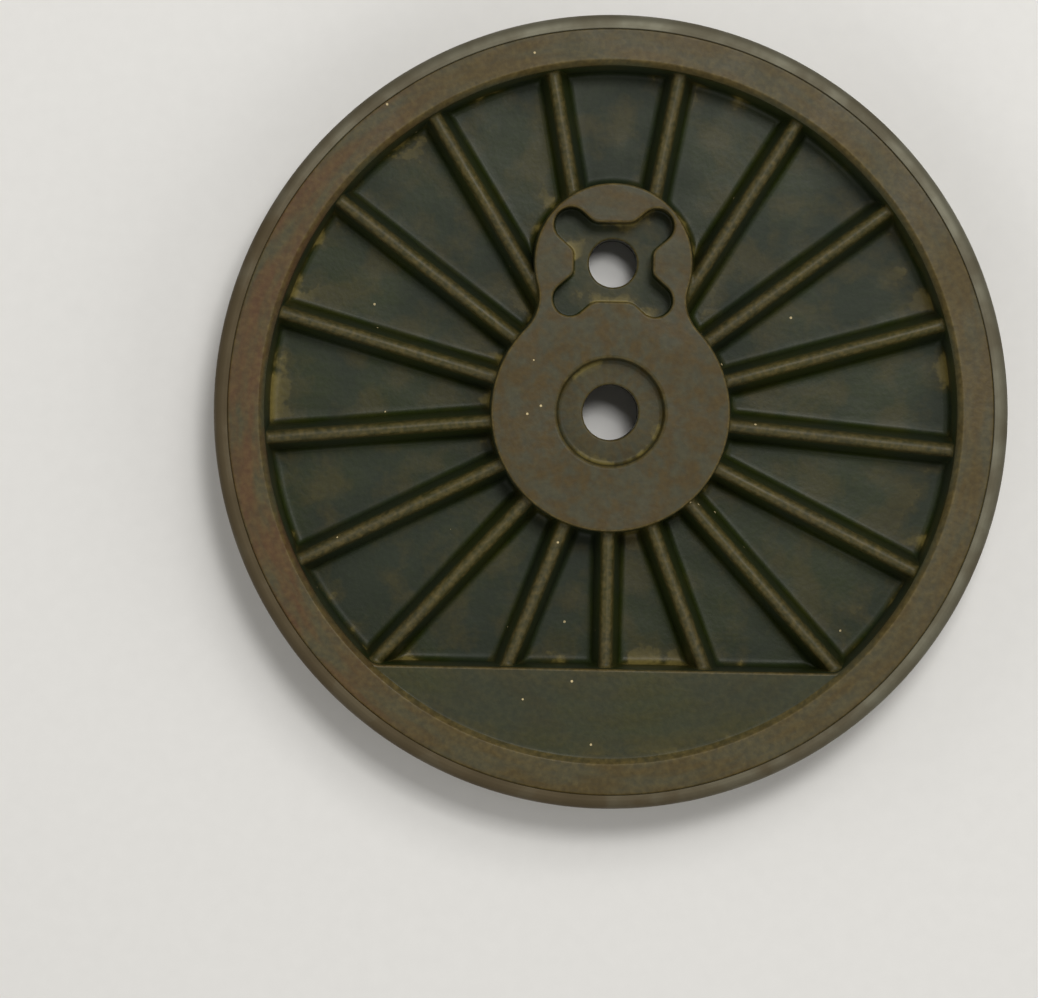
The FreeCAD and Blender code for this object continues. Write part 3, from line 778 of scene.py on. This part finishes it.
def tyre_profile():
    """Radius and height round the tyre's section, from the seat's front to its back."""
    corner_radius = TYRE_RADIUS - TYRE_CORNER
    corner_height = TYRE_FRONT - TYRE_CORNER
    profile = [(SEAT_RADIUS, TYRE_FRONT - 0.06), (SEAT_RADIUS + 0.01, TYRE_FRONT - 0.02),
               (SEAT_RADIUS + 0.03, TYRE_FRONT), (SEAT_RADIUS + 0.05, TYRE_FRONT)]
    for step in range(CORNER_STEPS + 1):
        angle = math.pi / 2 * (1 - step / CORNER_STEPS)
        profile.append((corner_radius + TYRE_CORNER * math.cos(angle),
                        corner_height + TYRE_CORNER * math.sin(angle)))
    profile += [(TYRE_RADIUS, corner_height - 0.1), (TYRE_RADIUS, TYRE_CHAMFER + 0.1),
                (TYRE_RADIUS, TYRE_CHAMFER + 0.03), (TYRE_RADIUS - 0.03, TYRE_CHAMFER - 0.05),
                (TYRE_RADIUS - TYRE_CHAMFER + 0.04, 0.03),
                (TYRE_RADIUS - TYRE_CHAMFER - 0.02, 0.0), (TYRE_RADIUS - TYRE_CHAMFER - 0.06, 0.0),
                (SEAT_RADIUS + 0.06, 0.0), (SEAT_RADIUS + 0.03, 0.0), (SEAT_RADIUS, 0.03),
                (SEAT_RADIUS, 0.1)]
    return profile


def turned_ring(name, profile, segments):
    """A ring with the given section, in equal segments round the wheel's axis."""
    mesh = bpy.data.meshes.new(name)
    count = len(profile)
    points = []
    faces = []
    for segment in range(segments):
        turn = math.tau * segment / segments
        points.extend((r * MM * math.cos(turn), r * MM * math.sin(turn), z * MM) for r, z in profile)
        here = segment * count
        beyond = (segment + 1) % segments * count
        for i in range(count):
            j = (i + 1) % count
            faces.append((here + i, here + j, beyond + j, beyond + i))
    mesh.from_pydata(points, [], faces)
    return finish_mesh(name, mesh)


# Turned mild steel, tarnished: dull grey with a patchy brown film, and fine rings from the tool.
# Towards the lower left the film's dark brown is laid on more and more: partly real film, partly
# painted shade where the light falls off. The rings are drawn coarser than real ones, to show.
DULL_STEEL = "#5f5c4c"
BROWN_FILM_AND_PAINTED_SHADE = "#453a24"
TOOL_MARK = 0.09
TOOL_MARK_DEPTH = 0.01
FILM_SIZE = 3.0
FILM_AND_SHADE_WAY = (0.8, 0.6, 0)
FILM_AND_SHADE_START = 4.0
FILM_AND_SHADE_END = -15.0


def turned_steel():
    material = bpy.data.materials.new("tarnished_turned_steel")
    material.use_nodes = True
    tree = material.node_tree
    shader = tree.nodes["Principled BSDF"]
    shader.inputs["Metallic"].default_value = 0.55
    place = add(tree, "ShaderNodeTexCoord").outputs["Object"]
    flat = add(tree, "ShaderNodeVectorMath", {"operation": "MULTIPLY", 1: (1, 1, 0)},
               {0: place}).outputs["Vector"]
    radius = add(tree, "ShaderNodeVectorMath", {"operation": "LENGTH"}, {0: flat}).outputs["Value"]
    height = add(tree, "ShaderNodeSeparateXYZ", {}, {"Vector": place}).outputs["Z"]
    section = add(tree, "ShaderNodeMath", {"operation": "ADD"}, {0: radius, 1: height}).outputs["Value"]
    step = add(tree, "ShaderNodeMath", {"operation": "DIVIDE", 1: TOOL_MARK * MM},
               {0: section}).outputs["Value"]
    marks = add(tree, "ShaderNodeTexNoise", {"noise_dimensions": "1D", "Scale": 1.0, "Detail": 2.0},
                {"W": step}).outputs["Fac"]
    film = add(tree, "ShaderNodeTexNoise", {"Scale": 1 / (FILM_SIZE * MM), "Detail": 4.0},
               {"Vector": place}).outputs["Fac"]
    films = add(tree, "ShaderNodeMapRange", {"From Min": 0.4, "From Max": 0.6},
                {"Value": film}).outputs["Result"]
    # The film's dark brown ramps up towards the lower left: partly brown film, partly painted shade.
    across = add(tree, "ShaderNodeVectorMath", {"operation": "DOT_PRODUCT", 1: FILM_AND_SHADE_WAY},
                 {0: place}).outputs["Value"]
    leftward = add(tree, "ShaderNodeMapRange",
                   {"From Min": FILM_AND_SHADE_START * MM, "From Max": FILM_AND_SHADE_END * MM, "To Max": 0.9},
                   {"Value": across}).outputs["Result"]
    brown = add(tree, "ShaderNodeMath", {"operation": "MULTIPLY_ADD", "use_clamp": True, 1: 0.5},
                {0: films, 2: leftward}).outputs["Value"]
    tone = add(tree, "ShaderNodeMix", {"data_type": "RGBA", FIRST: DULL_STEEL, SECOND: BROWN_FILM_AND_PAINTED_SHADE},
               {"Factor": brown}).outputs[MIXED]
    level = add(tree, "ShaderNodeMapRange",
                {"From Min": 0.2, "From Max": 0.8, "To Min": 0.85, "To Max": 1.15},
                {"Value": marks}).outputs["Result"]
    ringed = add(tree, "ShaderNodeHueSaturation", {}, {"Color": tone, "Value": level}).outputs["Color"]
    gloss = add(tree, "ShaderNodeMapRange", {"To Min": 0.56, "To Max": 0.7},
                {"Value": films}).outputs["Result"]
    bump = add(tree, "ShaderNodeBump", {"Strength": 0.25, "Distance": TOOL_MARK_DEPTH * MM},
               {"Height": marks}).outputs["Normal"]
    tree.links.new(ringed, shader.inputs["Base Color"])
    tree.links.new(gloss, shader.inputs["Roughness"])
    tree.links.new(bump, shader.inputs["Normal"])
    return material


tyre = turned_ring("tyre_ring", tyre_profile(), TYRE_SEGMENTS)
tyre.data.materials.append(turned_steel())
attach(tyre, "root")
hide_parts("tyre")

# The wheel lies on its back on a plain sheet of matt paper, set a hair lower so that the two
# don't share a plane. The fibre shows only as a faint unevenness of the white.
SHEET_SIZE = 1.2
SHEET_DROP = 0.01
PAPER_SHADE = "#dedcd8"
PAPER_LIGHT = "#e3e1dd"
FIBRE_SIZE = 0.9


def matt_paper():
    material = bpy.data.materials.new("matt_paper")
    material.use_nodes = True
    tree = material.node_tree
    shader = tree.nodes["Principled BSDF"]
    shader.inputs["Roughness"].default_value = 0.9
    place = add(tree, "ShaderNodeTexCoord").outputs["Object"]
    fibre = add(tree, "ShaderNodeTexNoise", {"Scale": 1 / (FIBRE_SIZE * MM), "Detail": 4.0},
                {"Vector": place}).outputs["Fac"]
    tone = add(tree, "ShaderNodeMix", {"data_type": "RGBA", FIRST: PAPER_SHADE, SECOND: PAPER_LIGHT},
               {"Factor": fibre}).outputs[MIXED]
    tree.links.new(tone, shader.inputs["Base Color"])
    return material


bpy.ops.mesh.primitive_plane_add(size=SHEET_SIZE, location=(0, 0, -SHEET_DROP * MM))
sheet = bpy.context.object
sheet.name = "sheet"
sheet.data.materials.append(matt_paper())

# Two small lamps overhead lean towards the picture's top and give the shadows. Three broad
# ones round the wheel and a weak pale surround fill them, and the camera and the gloss see
# the surround brighter than it lights.
SURROUND = "#f7f6f1"
SURROUND_LIGHT = 0.22
SURROUND_SEEN = 0.65
# Each lamp's tilt from overhead and turn in degrees, distance and size in metres, and watts.
LAMPS = (("overhead", 16, 66, 0.32, 0.055, 0.37),
         ("window", 28, 64, 0.36, 0.13, 0.33),
         ("room_low", 50, 255, 0.6, 0.4, 0.55),
         ("room_left", 52, 170, 0.6, 0.4, 0.45),
         ("room_right", 52, -10, 0.6, 0.4, 0.6))

for name, tilt, turn, distance, size, watts in LAMPS:
    data = bpy.data.lights.new(name, "AREA")
    data.size = size
    data.energy = watts
    tilt = math.radians(tilt)
    turn = math.radians(turn)
    way = Vector((math.sin(tilt) * math.cos(turn), math.sin(tilt) * math.sin(turn), math.cos(tilt)))
    lamp = bpy.data.objects.new(name, data)
    lamp.location = way * distance
    lamp.rotation_mode = "QUATERNION"
    lamp.rotation_quaternion = way.to_track_quat("Z", "Y")
    bpy.context.scene.collection.objects.link(lamp)

world = bpy.data.worlds.new("studio")
world.use_nodes = True
tree = world.node_tree
background = tree.nodes["Background"]
background.inputs["Color"].default_value = linear(SURROUND)
rays = add(tree, "ShaderNodeLightPath").outputs
seen = add(tree, "ShaderNodeMath", {"operation": "MAXIMUM"},
           {0: rays["Is Camera Ray"], 1: rays["Is Glossy Ray"]}).outputs["Value"]
seen = add(tree, "ShaderNodeMath", {"operation": "MAXIMUM"},
           {0: seen, 1: rays["Is Transmission Ray"]}).outputs["Value"]
strength = add(tree, "ShaderNodeMapRange", {"To Min": SURROUND_LIGHT, "To Max": SURROUND_SEEN},
               {"Value": seen}).outputs["Result"]
tree.links.new(strength, background.inputs["Strength"])
bpy.context.scene.world = world

# The camera looks almost straight down at the wheel from about 275 mm, as its bores show.
# Pixels count from the photograph's top left: one is right below the camera, and the other
# is where the wheel's axis meets its front, the plane that has the given pixels per mm.
PICTURE_WIDTH = 1038
PICTURE_HEIGHT = 998
LENS = 178.0
SENSOR = 36.0
PLUMB_PIXEL = (545.0, 420.0)
CENTRE_PIXEL = (610.7, 412.3)
PIXELS_PER_MM = 18.67
ROLL = math.radians(1.1)


def ray(pixel):
    """The way to a pixel, in the camera's own frame and in pixels."""
    return Vector((pixel[0] - PICTURE_WIDTH / 2, PICTURE_HEIGHT / 2 - pixel[1],
                   -LENS / SENSOR * PICTURE_WIDTH))


upright = ray(PLUMB_PIXEL).rotation_difference(Vector((0, 0, -1)))
facing = Quaternion((0, 0, 1), ROLL) @ upright
camera_data = bpy.data.cameras.new("camera")
camera_data.lens = LENS
camera_data.sensor_width = SENSOR
camera_data.clip_start = 0.01
camera_data.clip_end = 10.0
camera = bpy.data.objects.new("camera", camera_data)
camera.rotation_mode = "QUATERNION"
camera.rotation_quaternion = facing
to_face = facing @ ray(CENTRE_PIXEL) / PIXELS_PER_MM
camera.location = (Vector((0, 0, TYRE_FRONT)) - to_face) * MM
bpy.context.scene.collection.objects.link(camera)
bpy.context.scene.camera = camera
bpy.context.scene.view_settings.view_transform = "Standard"
